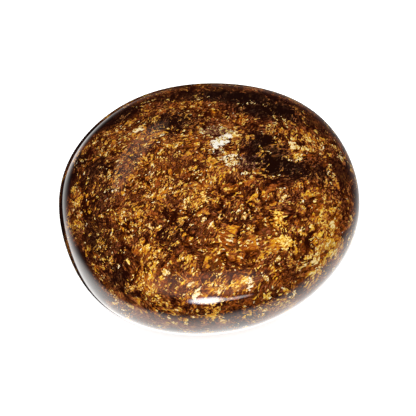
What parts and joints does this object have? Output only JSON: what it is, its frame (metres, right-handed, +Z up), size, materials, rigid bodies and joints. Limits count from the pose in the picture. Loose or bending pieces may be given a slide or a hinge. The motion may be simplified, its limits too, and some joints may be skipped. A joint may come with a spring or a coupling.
{
  "type": "polished bronzite pebble",
  "caption": "Smooth tumbled oval stone with a polished, mottled bronze-brown surface, lying on a small worn flat.",
  "frame": {"origin": "middle of the bounding box in X and Y, on the worn flat that the stone rests on", "axes": "+X along the stone's length, +Y across it, +Z up through its thickness"},
  "size_m": [0.045, 0.041, 0.0188],
  "materials": {
    "bronzite": "polished, with a half-metallic bronze sheen in the grains"
  },
  "bodies": {
    "root": {"pebble": "bronzite"}
  },
  "joints": []
}
